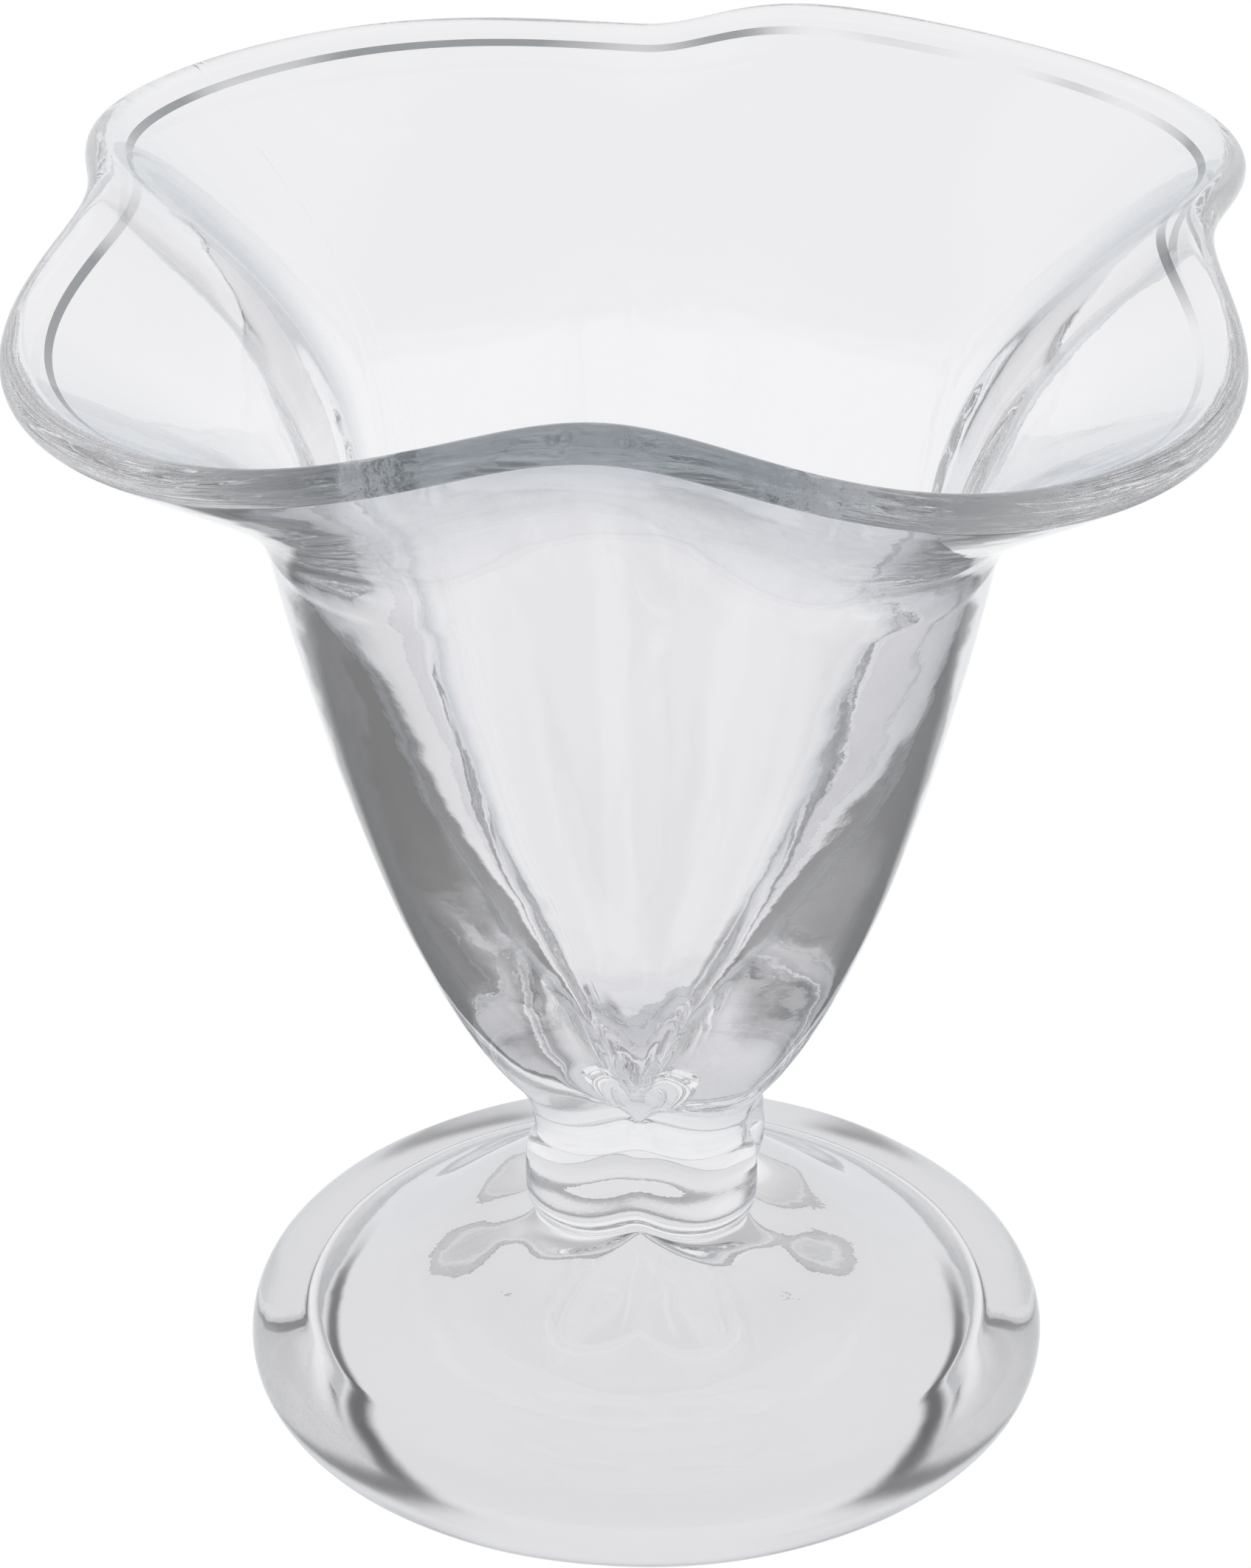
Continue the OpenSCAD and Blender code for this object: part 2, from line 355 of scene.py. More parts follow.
def stem_line(foot, stem):
    """From the foot's top in over the skirt and up the barrel."""

    def side(end_r):
        low = np.array([foot.seat_r, STEM_LOW.z])
        high = np.array([end_r, STEM_LOW.z + stem.skirt_h])
        corner = np.array([mix(low[0], high[0], SKIRT_CORNER), mix(low[1], high[1], SKIRT_RISE)])
        skirt = bend(low, corner, high, column(SKIRT_ROWS))
        turn = -np.cos(math.pi * column(BARREL_ROWS))
        swell = stem.swell * (1 - np.abs(turn) ** BARREL_POWER)
        barrel = np.hstack([end_r + swell, mix(high[1], STEM_HIGH.z, (1 + turn) / 2)])
        return np.vstack([skirt, barrel[1:]])

    return Line(side(stem.lobe_r), side(stem.lobe_r - stem.groove), stem.fullness, 0.0)


def lip_side(middle, angle, half, side):
    return middle + side * half * np.array([math.cos(angle), -math.sin(angle)])


def lip_line(middle, angle, half):
    """The lip's edge: a half circle from the outside of the wall round to the inside."""
    turn = math.pi * column(LIP_ROWS)
    across = np.array([math.cos(angle), -math.sin(angle)])
    return middle + half * (np.cos(turn) * across + np.sin(turn) * leaning(angle))


def bowl_line(bowl, stem):
    """From the stem up the outside of the wall, over the lip and down the inside to the pit."""
    seam_z = BOWL_LOW.z
    neck_z = seam_z + bowl.neck_h
    lip_z = seam_z + bowl.lip_h
    throat_z = lip_z - bowl.flare_h
    half = bowl.lip_t / 2
    petal_lip = np.array([bowl.lip_r, lip_z])
    dip_lip = np.array([bowl.lip_r - bowl.lip_groove, lip_z + bowl.dip_rise])
    petal_throat = np.array([bowl.throat_r, throat_z])
    groove_throat = petal_throat - np.array([bowl.throat_groove, 0.0])
    pit = np.array([bowl.pit_r, seam_z + bowl.floor_t])

    def outside(seam_r, neck_r, neck_lean, throat, throat_lean, lip, lip_lean):
        neck = np.array([neck_r, neck_z])
        straight = np.array([seam_r, seam_z + bowl.neck_h * NECK_STRAIGHT])
        end = lip_side(lip, lip_lean, half, 1)
        lower = bend(np.array([seam_r, seam_z]), straight, neck, column(NECK_ROWS))
        body = stretch(neck, neck_lean, NECK_PULL, throat, throat_lean, THROAT_PULL, BODY_ROWS)
        flare = stretch(throat, throat_lean, FLARE_PULL, end, lip_lean, LIP_PULL, FLARE_ROWS)
        return np.vstack([lower, body[1:], flare[1:]])

    def inside(wall, pit_lean, throat, throat_lean, lip, lip_lean):
        inner = throat - np.array([wall, 0.0])
        end = lip_side(lip, lip_lean, half, -1)
        body = stretch(pit, pit_lean, PIT_PULL, inner, throat_lean, THROAT_PULL, BODY_ROWS)
        flare = stretch(inner, throat_lean, FLARE_PULL, end, lip_lean, LIP_PULL, FLARE_ROWS)
        return np.vstack([body, flare[1:]])[::-1]

    outer = outside(
        stem.lobe_r,
        bowl.neck_r,
        PETAL_NECK,
        petal_throat,
        PETAL_THROAT,
        petal_lip,
        PETAL_LIP,
    )
    outer_groove = outside(
        stem.lobe_r - stem.groove,
        bowl.neck_r - bowl.neck_groove,
        GROOVE_NECK,
        groove_throat,
        GROOVE_THROAT,
        dip_lip,
        DIP_LIP,
    )
    inner = inside(bowl.throat_wall, PETAL_PIT, petal_throat, PETAL_THROAT, petal_lip, PETAL_LIP)
    crease = inside(bowl.crease_wall, CREASE_PIT, groove_throat, GROOVE_THROAT, dip_lip, DIP_LIP)

    up = np.arange(len(outer))
    climb = np.clip((up - (len(outer) - 1 - FLARE_ROWS)) / FLARE_ROWS, 0, 1)
    down = np.clip(1 - np.arange(len(inner)) / FLARE_ROWS, 0, 1)
    wall = Line(outer, outer_groove, mix(stem.fullness, bowl.lip_fullness, up / up[-1]), climb**2)
    lip = Line(
        lip_line(petal_lip, PETAL_LIP, half), lip_line(dip_lip, DIP_LIP, half), bowl.lip_fullness, 1.0
    )
    cavity = Line(inner, crease, mix(bowl.cavity_fullness, bowl.lip_fullness, down), down**2)
    return together([wall, lip.rest(), cavity.rest()])


def petal_wave(phi, petals):
    """0 in a dip or groove, 1 on a petal."""
    return (1 - np.cos(petals * phi)) / 2


def hand_finish(phi, bowl):
    """What hand finishing does to the height of the lip."""
    wave = petal_wave(phi, bowl.petals)
    front = np.maximum(0, -np.sin(phi)) ** HAND_POWER
    back = np.maximum(0, np.sin(phi)) ** HAND_POWER
    dips = (bowl.front_dip_up * front - bowl.back_dip_down * back) * (1 - wave)
    along = np.clip((phi - CREST_TAIL) / (CREST_FOOT - CREST_TAIL), 0, 1)
    crest = np.sin(math.pi * along**2) ** 2
    return dips + bowl.back_crest_up * crest


# Crossing waves of the cooled surface: the height and the radius in millimetres that each takes for
# a radian, its turns round the glass, and its phase
WAVES = (
    (4.1, math.inf, 3, 0.7),
    (7.3, math.inf, -5, 2.1),
    (2.9, 6.0, 9, 0.0),
    (11.0, -5.0, 13, 1.3),
)

# Radius in millimetres from which the waves grow, and over which they do
CALM_R, CALM_FADE = 2.0, 6.0

# How deep the waves' middle lies, against their height, so that no crest stands proud
WAVES_DEPTH = 2.1


def ripples(points, depth):
    """A slow, shallow ripple of the cooled surface, always a little into the glass."""
    x, y, z = (points[..., k] / MM for k in range(3))
    angle = np.arctan2(y, x)
    reach = np.hypot(x, y)
    waves = sum(np.sin(z / up + turns * angle + reach / out + phase) for up, out, turns, phase in WAVES)
    fade = np.clip((reach - CALM_R) / CALM_FADE, 0, 1)
    return depth * fade * (waves / len(WAVES) - WAVES_DEPTH)


class Skin:
    """The whole surface of the glass as rings of points, from under the foot to the pit."""

    def __init__(self, scene):
        bowl, stem, foot = scene.parfait_bowl, scene.parfait_stem, scene.parfait_foot
        lines = [foot_line(foot), stem_line(foot, stem), bowl_line(bowl, stem)]
        counts = [len(line.petal) for line in lines]
        line = together([lines[0], lines[1].rest(), lines[2].rest()])
        around = scene.parfait_look.around
        phi = np.arange(around) / around * math.tau
        wave = petal_wave(phi, bowl.petals)
        full = wave + line.fullness[:, None] * wave * (1 - wave)
        profile = line.groove[:, None, :] + (line.petal - line.groove)[:, None, :] * full[..., None]
        radius = profile[..., 0]
        height = profile[..., 1] + line.uneven[:, None] * hand_finish(phi, bowl)
        self.points = np.stack([radius * np.cos(phi), radius * np.sin(phi), height], -1)
        self.normals = self.find_normals()
        off_floor = height[:, :1] > LEVEL_H
        shift = ripples(self.points, scene.parfait_look.ripple) * off_floor
        self.points = self.points + self.normals * shift[..., None]
        self.normals = self.find_normals()
        foot_end = counts[0]
        stem_end = foot_end + counts[1] - 1
        self.rows = {
            "foot": (0, foot_end),
            "stem": (foot_end - 1, stem_end),
            "bowl": (stem_end - 1, len(self.points)),
        }

    def find_normals(self):
        up = np.gradient(self.points, axis=0)
        along = np.roll(self.points, -1, axis=1) - np.roll(self.points, 1, axis=1)
        normals = np.cross(along, up)
        length = np.linalg.norm(normals, axis=-1, keepdims=True)
        return normals / np.maximum(length, 1e-12)


def skin_mesh(skin, node, name):
    """The skin's rows for one node as a mesh, closed round and at any pole."""
    first, last = skin.rows[node]
    points = skin.points[first:last]
    normals = skin.normals[first:last]
    levels, around = points.shape[:2]
    index = np.arange(levels * around).reshape(levels, around)
    a = index[:-1]
    b = np.roll(a, -1, axis=1)
    c = np.roll(index[1:], -1, axis=1)
    d = index[1:]
    faces = np.stack([a, b, c, d], -1).reshape(-1, 4).tolist()
    vertices = points.reshape(-1, 3).tolist()
    directions = normals.reshape(-1, 3).tolist()
    for row, pole_row, flip in ((0, first, False), (levels - 1, last, True)):
        if pole_row in (0, len(skin.points)):
            middle = len(vertices)
            vertices.append(points[row].mean(axis=0).tolist())
            directions.append(normals[row].mean(axis=0).tolist())
            ring = index[row].tolist()
            for k in range(around):
                near, far = ring[k], ring[(k + 1) % around]
                faces.append([middle, near, far] if flip else [middle, far, near])
    mesh = bpy.data.meshes.new(name)
    mesh.from_pydata(vertices, [], faces)
    mesh.polygons.foreach_set("use_smooth", [True] * len(mesh.polygons))
    mesh.normals_split_custom_set_from_vertices(directions)
    mesh.validate(clean_customdata=False)
    return mesh


def dress_rows(mesh, material, first, count, around):
    """Gives a material of their own to some rows of faces."""
    mesh.materials.append(material)
    for face in range(first * around, (first + count) * around):
        mesh.polygons[face].material_index = len(mesh.materials) - 1


def glass_piece(context, node, name):
    """One piece of the glass, which stands for its node."""
    scene = context.scene
    mesh = skin_mesh(Skin(scene), node, name)
    mesh.materials.append(glass_material(scene.parfait_look))
    piece = bpy.data.objects.new(name, mesh)
    scene.collection.objects.link(piece)
    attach(piece, BODY)
    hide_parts(node)
    return piece


# Materials

UP = (0.0, 0.0, 1.0)

# From which slant the glass takes its darker edge tint, partly for the longer way through the glass and
# partly as painted shade along its edges, where 0 is seen straight on and 1 edge on
GRAZING_START, GRAZING_FULL = 0.42, 0.95

# The surface's slow waves and its orange peel: scale and detail of the noise, and its height
SLOW_NOISE, SLOW_H = (90.0, 2.0), 0.12 * MM
PEEL_NOISE, PEEL_H = (700.0, 3.0), 0.005 * MM

# Rubbed patches: their noise, the levels at which they start and are full, and what they add
PATCH_NOISE, PATCH_ROUGHNESS = (55.0, 6.0), 0.10
PATCH_START, PATCH_FULL = 0.62, 0.80

# Up to which share of the rubbed height the foot is fully rubbed
RUBBED_FULL = 0.2

# Over how much height the neck's greyer glass fades out
NECK_FADE = 3 * MM

# A mould seam crosses the glass in one upright plane, turned from +X, and stands out at the back
SEAM_TURN = math.radians(138.5)
SEAM_W, SEAM_H = 0.35 * MM, 0.05 * MM
SEAM_START = 4 * MM

# Where the painted shade on the lip sets in: on its way to the front, and from the petals in to the dip
FRONT_START, FRONT_FULL = 20 * MM, 45 * MM
DIP_START, DIP_FULL = 46 * MM, 14 * MM

# Two rough patches on the front lip, to the left and right of its dip
ROUGH_X, ROUGH_W = 17.8 * MM, 3.6 * MM
ROUGH_NOISE, ROUGH_H = (420.0, 3.0), 0.9 * MM

# The painted dark line inside the lip: noise that thins it, and the levels at which it starts and is full
LINE_NOISE = (45.0, 1.0)
LINE_START, LINE_FULL = 0.26, 0.56


def join(tree, value, socket):
    """Feeds a node's input from another node's output, or sets it to a plain value."""
    if isinstance(value, bpy.types.NodeSocket):
        tree.links.new(value, socket)
    else:
        socket.default_value = value


def maths(tree, operation, first, second=0.0):
    node = tree.nodes.new("ShaderNodeMath")
    node.operation = operation
    join(tree, first, node.inputs[0])
    join(tree, second, node.inputs[1])
    return node.outputs["Value"]


def product(tree, *values):
    result = values[0]
    for value in values[1:]:
        result = maths(tree, "MULTIPLY", result, value)
    return result


def eased(tree, value, start, end):
    """Goes smoothly from 0 to 1 as the value goes from start to end."""
    node = tree.nodes.new("ShaderNodeMapRange")
    node.interpolation_type = "SMOOTHSTEP"
    if start > end:
        start, end = end, start
        node.inputs["To Min"].default_value = 1.0
        node.inputs["To Max"].default_value = 0.0
    node.inputs["From Min"].default_value = start
    node.inputs["From Max"].default_value = end
    join(tree, value, node.inputs["Value"])
    return node.outputs["Result"]


def blend(tree, amount, first, second):
    """Mixes two colours."""
    node = tree.nodes.new("ShaderNodeMix")
    node.data_type = "RGBA"
    join(tree, amount, node.inputs[0])
    join(tree, first, node.inputs[6])
    join(tree, second, node.inputs[7])
    return node.outputs[2]


def across(tree, place, direction):
    """How far each point lies along a direction."""
    node = tree.nodes.new("ShaderNodeVectorMath")
    node.operation = "DOT_PRODUCT"
    join(tree, place, node.inputs[0])
    node.inputs[1].default_value = direction
    return node.outputs["Value"]


def slant(tree):
    """0 where a surface is seen straight on, 1 where it is seen edge on."""
    node = tree.nodes.new("ShaderNodeLayerWeight")
    node.inputs["Blend"].default_value = 0.5
    return node.outputs["Facing"]


def noise(tree, place, scale, detail):
    node = tree.nodes.new("ShaderNodeTexNoise")
    node.inputs["Scale"].default_value = scale
    node.inputs["Detail"].default_value = detail
    join(tree, place, node.inputs["Vector"])
    return node.outputs["Fac"]


def bump(tree, height, distance, normal=None):
    node = tree.nodes.new("ShaderNodeBump")
    node.inputs["Strength"].default_value = 1.0
    node.inputs["Distance"].default_value = distance
    join(tree, height, node.inputs["Height"])
    if normal:
        join(tree, normal, node.inputs["Normal"])
    return node.outputs["Normal"]


def glass_material(look, name="pressed_glass"):
    """Clear pressed glass: fire-polished, with slow waves, orange peel, rubbed patches, a seam and painted
    shade where it is seen edge on.
    """
    ready = bpy.data.materials.get(name)
    if ready:
        return ready
    material = bpy.data.materials.new(name)
    material.use_nodes = True
    tree = material.node_tree
    nodes, links = tree.nodes, tree.links
    shader = nodes["Principled BSDF"]
    shader.inputs["IOR"].default_value = look.index
    shader.inputs["Transmission Weight"].default_value = 1.0
    place = nodes.new("ShaderNodeTexCoord").outputs["Object"]
    height = across(tree, place, UP)

    below = eased(tree, height, STEM_HIGH.z - NECK_FADE, STEM_HIGH.z)
    above = eased(tree, height, STEM_HIGH.z + 3 * NECK_FADE, STEM_HIGH.z + 2 * NECK_FADE)
    tint = blend(tree, product(tree, below, above), look.tint, look.neck_tint)
    # Painted shade, in part: the glass is darker where it is seen edge on
    grazing = eased(tree, slant(tree), GRAZING_START, GRAZING_FULL)
    links.new(blend(tree, grazing, tint, look.edge_tint_and_painted_shade), shader.inputs["Base Color"])

    patches = nodes.new("ShaderNodeMapRange")
    patches.inputs["From Min"].default_value = PATCH_START
    patches.inputs["From Max"].default_value = PATCH_FULL
    patches.inputs["To Min"].default_value = look.roughness
    patches.inputs["To Max"].default_value = look.roughness + PATCH_ROUGHNESS
    links.new(noise(tree, place, *PATCH_NOISE), patches.inputs["Value"])
    low_down = eased(tree, height, look.rubbed_h, look.rubbed_h * RUBBED_FULL)
    rubbed = product(tree, low_down, look.rubbed)
    links.new(maths(tree, "ADD", patches.outputs["Result"], rubbed), shader.inputs["Roughness"])

    slow = bump(tree, noise(tree, place, *SLOW_NOISE), SLOW_H)
    peel = bump(tree, noise(tree, place, *PEEL_NOISE), PEEL_H, slow)
    along = (math.cos(SEAM_TURN), math.sin(SEAM_TURN), 0.0)
    aside = (-math.sin(SEAM_TURN), math.cos(SEAM_TURN), 0.0)
    ridge = product(
        tree,
        eased(tree, maths(tree, "ABSOLUTE", across(tree, place, aside)), SEAM_W, 0.0),
        eased(tree, across(tree, place, along), 0.0, SEAM_START),
        eased(tree, height, STEM_LOW.z, STEM_HIGH.z),
    )
    links.new(bump(tree, ridge, SEAM_H, peel), shader.inputs["Normal"])
    return material


def lip_material(look):
    """The same glass in the rounded lip: with painted shade at the front, where it is seen edge on, and
    with two rough patches.
    """
    material = glass_material(look, "lip_glass_painted_front_shade")
    tree = material.node_tree
    shader = tree.nodes["Principled BSDF"]
    place = tree.nodes.new("ShaderNodeTexCoord").outputs["Object"]
    off_dip = maths(tree, "ABSOLUTE", across(tree, place, (1.0, 0.0, 0.0)))
    before = eased(tree, across(tree, place, (0.0, -1.0, 0.0)), FRONT_START, FRONT_FULL)
    # Painted shade at the front of the lip, away from the petals
    front = product(tree, before, eased(tree, off_dip, DIP_START, DIP_FULL))
    clear = shader.inputs["Base Color"].links[0].from_socket
    tree.links.new(blend(tree, front, clear, look.front_lip_painted_shade), shader.inputs["Base Color"])

    off_patch = maths(tree, "ABSOLUTE", maths(tree, "SUBTRACT", off_dip, ROUGH_X))
    patch = product(tree, before, eased(tree, off_patch, ROUGH_W, ROUGH_W / 3))
    pits = product(tree, patch, noise(tree, place, *ROUGH_NOISE))
    smooth = shader.inputs["Normal"].links[0].from_socket
    tree.links.new(bump(tree, pits, ROUGH_H, smooth), shader.inputs["Normal"])
    return material


def painted_lip_line_material(look):
    """The same glass in the fine line inside the lip, where the lip's roll ends on the wall, darkened as
    painted shade.
    """
    material = glass_material(look, "lip_line_painted_shade_glass")
    tree = material.node_tree
    shader = tree.nodes["Principled BSDF"]
    place = tree.nodes.new("ShaderNodeTexCoord").outputs["Object"]
    clear = shader.inputs["Base Color"].links[0].from_socket
    depth = eased(tree, noise(tree, place, *LINE_NOISE), LINE_START, LINE_FULL)
    tree.links.new(blend(tree, depth, clear, look.lip_line_painted_shade), shader.inputs["Base Color"])
    return material


# Studio

WHITE = (1.0, 1.0, 1.0, 1.0)
BLACK = (0.0, 0.0, 0.0, 1.0)

# Brightness of the room by elevation in degrees
ROOM = (
    (-90, 1.0),
    (4, 1.0),
    (12, 0.92),
    (20, 0.76),
    (32, 0.58),
    (55, 0.55),
    (90, 0.60),
)

# Cosines, from straight behind the glass, between which the room turns to its nearer, dimmer side
BEHIND_END, NEAR_FULL = 0.75, -0.1

# Elevations between which that dimming sets in
NEAR_LOW, NEAR_HIGH = math.radians(5), math.radians(10)

# Brightness of the floor's painted wing shade by the elevation of the sight line that meets it, in degrees
PAINTED_WING_SHADE = (
    (-90, 0.85),
    (-70, 0.80),
    (-58, 0.36),
    (-50, 0.22),
    (-40, 0.22),
    (-36, 1.0),
    (0, 1.0),
)

# The floor's wings of painted shade to the left and right: how far aside they start and are full, as shares
# of the distance from the axis, and how much narrower they get with each metre of it
WING_START, WING_FULL, WING_TAPER = 0.24, 0.40, 1.6
WING_FADE, WING_END = 130 * MM, 160 * MM

# Shares of the foot's radius between which the painted wing shade sets in, under the foot and outside it
UNDER_FOOT = (0.55, 0.75)
OUTSIDE_FOOT = (1.0, 1.15)

# Slants between which the painted shade under the foot sets in, where 0 is seen straight down
STEEP_START, STEEP_FULL = 0.20, 0.14

# Shares of the contact line's radius: its inner edge, its outer edge and where it ends at the back
CONTACT_IN = (0.97, 1.0)
CONTACT_OUT = (1.05, 1.02)
CONTACT_BACK = (0.6, 0.2)

# Corners of the round floor
FLOOR_CORNERS = 96

# From which share of its size the shade under the foot fades
SHADE_FADE = 0.93


def fill_ramp(ramp, table, place):
    """Sets a ramp's entries from a table of (elevation, brightness)."""
    ramp.color_ramp.interpolation = "EASE"
    entries = ramp.color_ramp.elements
    brightest = max(level for _, level in table)
    spots = sorted((place(math.radians(elevation)), level / brightest) for elevation, level in table)
    while len(entries) < len(spots):
        entries.new(1.0)
    for entry, (spot, level) in zip(entries, spots):
        entry.position = spot
        entry.color = (level, level, level, 1.0)
    return brightest


def vector(tree, operation, first, *others):
    """A vector node with its inputs joined or set."""
    node = tree.nodes.new("ShaderNodeVectorMath")
    node.operation = operation
    for socket, value in zip(node.inputs, (first, *others)):
        join(tree, value, socket)
    return node


def room_world(scene, studio):
    """Soft light all round, dimmer above the horizon on the camera's side than behind the glass."""
    world = bpy.data.worlds.new("studio_room")
    world.use_nodes = True
    tree = world.node_tree
    shine = tree.nodes["Background"]
    place = tree.nodes.new("ShaderNodeTexCoord").outputs["Generated"]
    up = across(tree, place, UP)
    ramp = tree.nodes.new("ShaderNodeValToRGB")
    shine.inputs["Strength"].default_value = fill_ramp(ramp, ROOM, lambda angle: (math.sin(angle) + 1) / 2)
    half = maths(tree, "MULTIPLY", maths(tree, "ADD", up, 1.0), 0.5)
    tree.links.new(half, ramp.inputs["Fac"])
    level = vector(tree, "MULTIPLY", place, (1, 1, 0)).outputs["Vector"]
    heading = vector(tree, "NORMALIZE", level).outputs["Vector"]
    behind = across(tree, heading, (-math.sin(studio.azimuth), math.cos(studio.azimuth), 0.0))
    near_side = product(tree, eased(tree, behind, BEHIND_END, NEAR_FULL), 1 - studio.near_level)
    above = eased(tree, up, math.sin(NEAR_LOW), math.sin(NEAR_HIGH))
    dim = product(tree, near_side, above)
    tree.links.new(blend(tree, dim, ramp.outputs["Color"], BLACK), shine.inputs["Color"])
    scene.world = world


# Painted shade: the glowing floor is darkened in two wings by the slant of sight, which gives the glass
# dark streaks
def painted_wing_shade(tree, x, reach):
    """White, but with painted shade by the slant of sight in two wings to the left and right of the glass.
    """
    ramp = tree.nodes.new("ShaderNodeValToRGB")
    fill_ramp(ramp, PAINTED_WING_SHADE, lambda angle: 1 + math.sin(angle))
    facing = slant(tree)
    tree.links.new(facing, ramp.inputs["Fac"])
    aside = maths(tree, "ABSOLUTE", maths(tree, "DIVIDE", x, reach))
    taper = product(tree, reach, WING_TAPER)
    wings = eased(tree, maths(tree, "SUBTRACT", aside, taper), WING_START, WING_FULL)
    foot_r = FOOT_HIGH.x
    outside = product(
        tree,
        eased(tree, reach, *(foot_r * part for part in OUTSIDE_FOOT)),
        eased(tree, reach, WING_END, WING_FADE),
    )
    under = product(
        tree,
        eased(tree, reach, *(foot_r * part for part in UNDER_FOOT)),
        eased(tree, facing, STEEP_START, STEEP_FULL),
    )
    dim = product(tree, maths(tree, "MAXIMUM", outside, under), wings)
    return blend(tree, dim, WHITE, ramp.outputs["Color"])


def shade(tree, place, y, reach, studio):
    """White, but for the painted shade under the foot and the painted dark line where the glass stands."""
    contact_r = studio.contact_r
    contact = product(
        tree,
        eased(tree, reach, *(contact_r * part for part in CONTACT_IN)),
        eased(tree, reach, *(contact_r * part for part in CONTACT_OUT)),
        eased(tree, y, *(contact_r * part for part in CONTACT_BACK)),
    )
    under = blend(tree, contact, studio.painted_shade_under_foot, studio.painted_contact_shadow)
    squeeze = (1 / studio.shade_across, 1 / studio.shade_along, 0)
    shift = (0, -studio.shade_back / studio.shade_along, 0)
    oval = vector(tree, "MULTIPLY_ADD", place, squeeze, shift).outputs["Vector"]
    spread = vector(tree, "LENGTH", oval).outputs["Value"]
    return blend(tree, eased(tree, spread, SHADE_FADE, 1.0), under, WHITE)


def floor_card(studio):
    """A glowing white card: white at the angles that the room is seen at, with painted shade where it is
    looked down on to the left and right of the glass, and painted shade where the glass stands on it."""
    material = bpy.data.materials.new("glowing_card_painted_shade")
    material.use_nodes = True
    tree = material.node_tree
    tree.nodes.clear()
    place = tree.nodes.new("ShaderNodeTexCoord").outputs["Object"]
    reach = vector(tree, "LENGTH", place).outputs["Value"]
    x = across(tree, place, (1.0, 0.0, 0.0))
    y = across(tree, place, (0.0, 1.0, 0.0))
    colour = vector(tree, "MULTIPLY", painted_wing_shade(tree, x, reach), shade(tree, place, y, reach, studio))
    glow = tree.nodes.new("ShaderNodeEmission")
    output = tree.nodes.new("ShaderNodeOutputMaterial")
    tree.links.new(colour.outputs["Vector"], glow.inputs["Color"])
    tree.links.new(glow.outputs["Emission"], output.inputs["Surface"])
    return material


def floor(scene, studio):
    count = FLOOR_CORNERS
    angles = np.arange(count) / count * math.tau
    ring = [(studio.floor_r * math.cos(a), studio.floor_r * math.sin(a), -studio.floor_gap) for a in angles]
    mesh = bpy.data.meshes.new("pale_floor")
    mesh.from_pydata(ring, [], [list(range(count))])
    obj = bpy.data.objects.new("pale_floor", mesh)
    scene.collection.objects.link(obj)
    mesh.materials.append(floor_card(studio))
    return obj


# What the camera sees at the nearest and at the farthest
CLIP_START, CLIP_END = 10 * MM, 20.0


def camera(scene, studio):
    turn, tilt = studio.azimuth, studio.elevation
    back = Vector((math.sin(turn) * math.cos(tilt), -math.cos(turn) * math.cos(tilt), math.sin(tilt)))
    place = back * studio.distance + Vector((0, 0, studio.aim_h))
    left = Vector((-math.cos(turn), -math.sin(turn), 0))
    aim = left * studio.aim_left + Vector((0, 0, studio.aim_h))
    ahead = (aim - place).normalized()
    right = ahead.cross(Vector((0, 0, 1))).normalized()
    up = right.cross(ahead)
    tilted_right = right * math.cos(studio.roll) + up * math.sin(studio.roll)
    tilted_up = up * math.cos(studio.roll) - right * math.sin(studio.roll)
    data = bpy.data.cameras.new("studio_camera")
    data.lens = studio.lens
    data.clip_start = CLIP_START
    data.clip_end = CLIP_END
    obj = bpy.data.objects.new("studio_camera", data)
    scene.collection.objects.link(obj)
    axes = Matrix((tilted_right, tilted_up, -ahead)).transposed()
    obj.matrix_world = Matrix.Translation(place) @ axes.to_4x4()
    scene.camera = obj
    return obj


# How often light may bounce, as it stays trapped in the thick lip for long, and its limit
BOUNCES = 96
BRIGHTEST = 4.0


class PARFAIT_OT_foot(bpy.types.Operator):
    """Make the round foot with its rolled edge and the hollow under it"""

    bl_idname = "parfait.foot"
    bl_label = "Foot"

    def execute(self, context):
        glass_piece(context, "foot", "foot_glass")
        return {"FINISHED"}


class PARFAIT_OT_stem(bpy.types.Operator):
    """Make the short lobed stem"""

    bl_idname = "parfait.stem"
    bl_label = "Stem"

    def execute(self, context):
        glass_piece(context, "stem", "stem_glass")
        return {"FINISHED"}


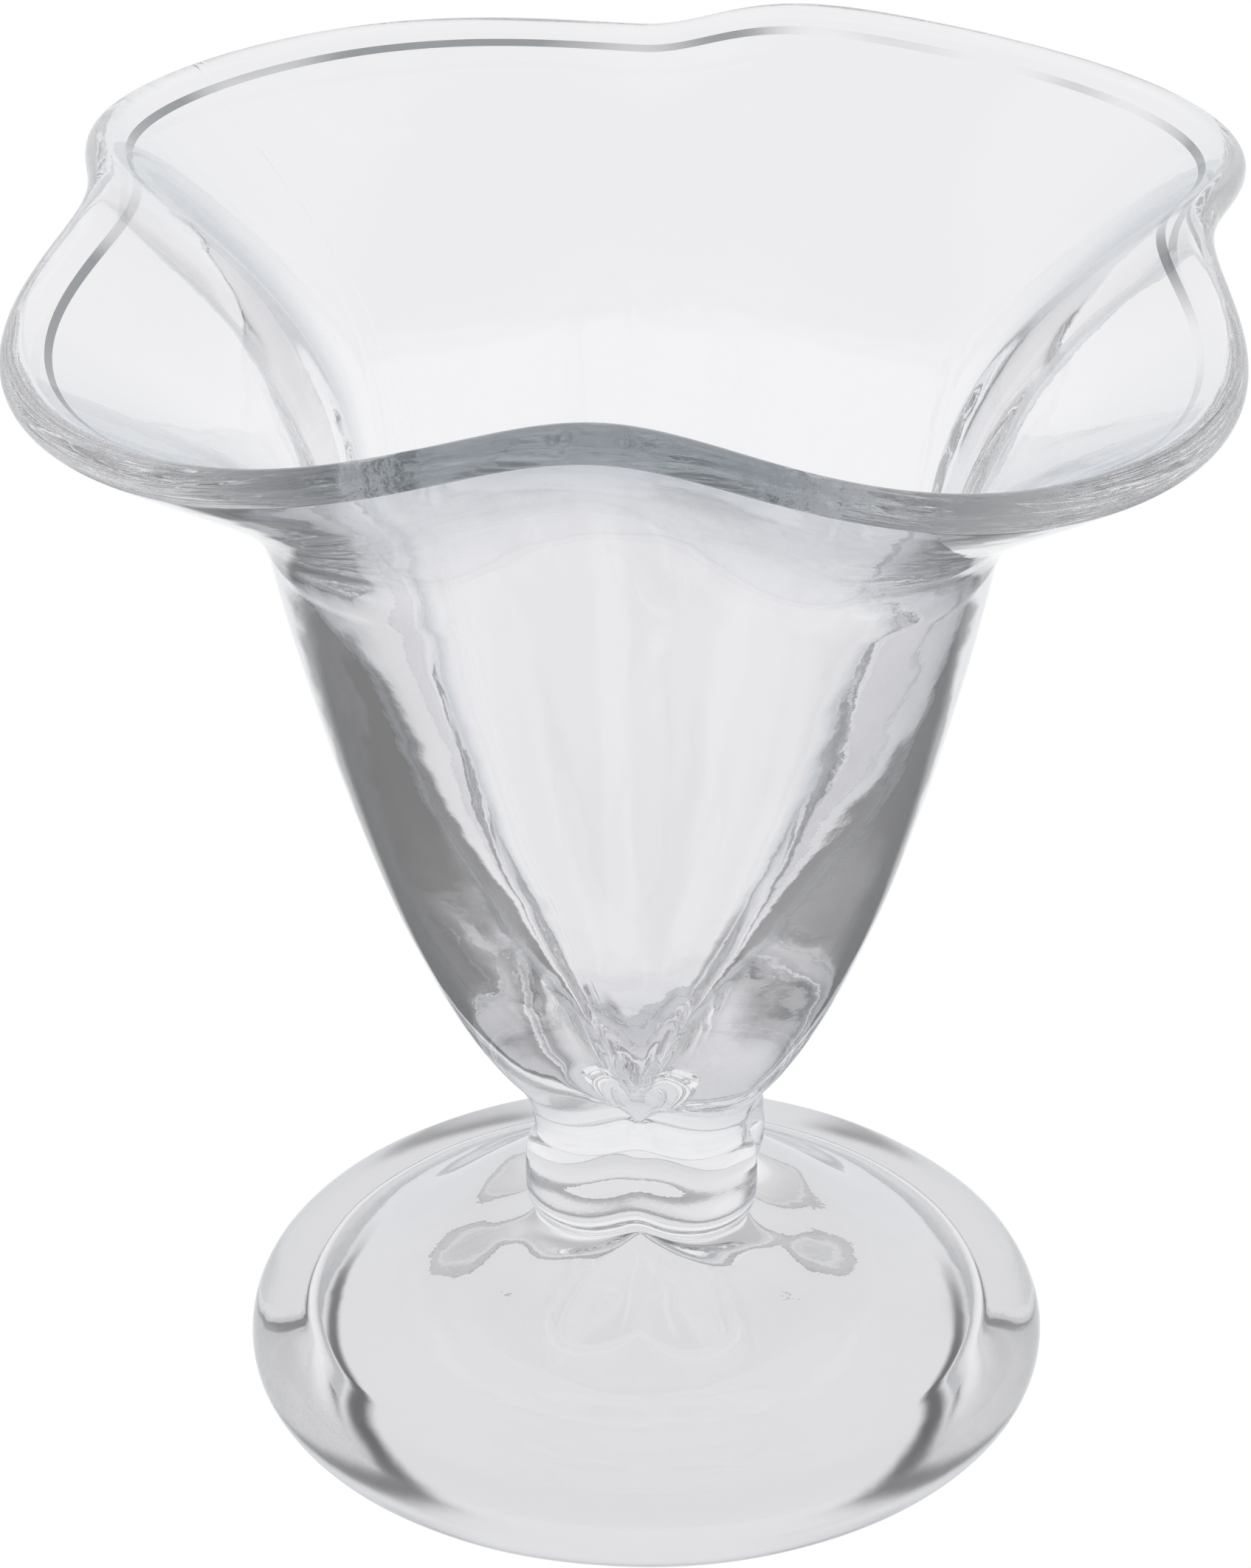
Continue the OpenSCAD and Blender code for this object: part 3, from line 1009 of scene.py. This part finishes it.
class PARFAIT_OT_bowl(bpy.types.Operator):
    """Make the petalled bowl with its creases, flare and rounded lip"""

    bl_idname = "parfait.bowl"
    bl_label = "Bowl"

    def execute(self, context):
        look = context.scene.parfait_look
        piece = glass_piece(context, "bowl", "bowl_glass")
        lip_row = NECK_ROWS + BODY_ROWS + FLARE_ROWS
        dress_rows(piece.data, lip_material(look), lip_row, LIP_ROWS, look.around)
        dress_rows(piece.data, painted_lip_line_material(look), lip_row + LIP_ROWS + LINE_ROW, 1, look.around)
        return {"FINISHED"}


class PARFAIT_OT_studio(bpy.types.Operator):
    """Make the pale floor, the soft light and the camera"""

    bl_idname = "parfait.studio"
    bl_label = "Studio"

    def execute(self, context):
        scene = context.scene
        room_world(scene, scene.parfait_studio)
        floor(scene, scene.parfait_studio)
        camera(scene, scene.parfait_studio)
        scene.view_settings.view_transform = "Standard"
        scene.cycles.max_bounces = BOUNCES
        scene.cycles.glossy_bounces = BOUNCES
        scene.cycles.transmission_bounces = BOUNCES
        scene.cycles.sample_clamp_indirect = BRIGHTEST
        return {"FINISHED"}


class PARFAIT_PT_panel(bpy.types.Panel):
    """The steps that make the glass and its studio"""

    bl_idname = "PARFAIT_PT_panel"
    bl_label = "Parfait glass"
    bl_space_type = "VIEW_3D"
    bl_region_type = "UI"
    bl_category = "Parfait"

    def draw(self, context):
        for operator in OPERATORS:
            self.layout.operator(operator.bl_idname)


GROUPS = {
    "parfait_bowl": BowlSizes,
    "parfait_stem": StemSizes,
    "parfait_foot": FootSizes,
    "parfait_look": GlassLook,
    "parfait_studio": Studio,
}
OPERATORS = (PARFAIT_OT_foot, PARFAIT_OT_stem, PARFAIT_OT_bowl, PARFAIT_OT_studio)


def register():
    for cls in (*GROUPS.values(), *OPERATORS, PARFAIT_PT_panel):
        bpy.utils.register_class(cls)
    for name, group in GROUPS.items():
        setattr(bpy.types.Scene, name, bpy.props.PointerProperty(type=group))


def unregister():
    for name in GROUPS:
        delattr(bpy.types.Scene, name)
    for cls in (PARFAIT_PT_panel, *reversed(OPERATORS), *reversed(list(GROUPS.values()))):
        bpy.utils.unregister_class(cls)


def main():
    register()
    bpy.ops.parfait.studio()
    bpy.ops.parfait.foot()
    bpy.ops.parfait.stem()
    bpy.ops.parfait.bowl()


if __name__ == "__main__":
    main()
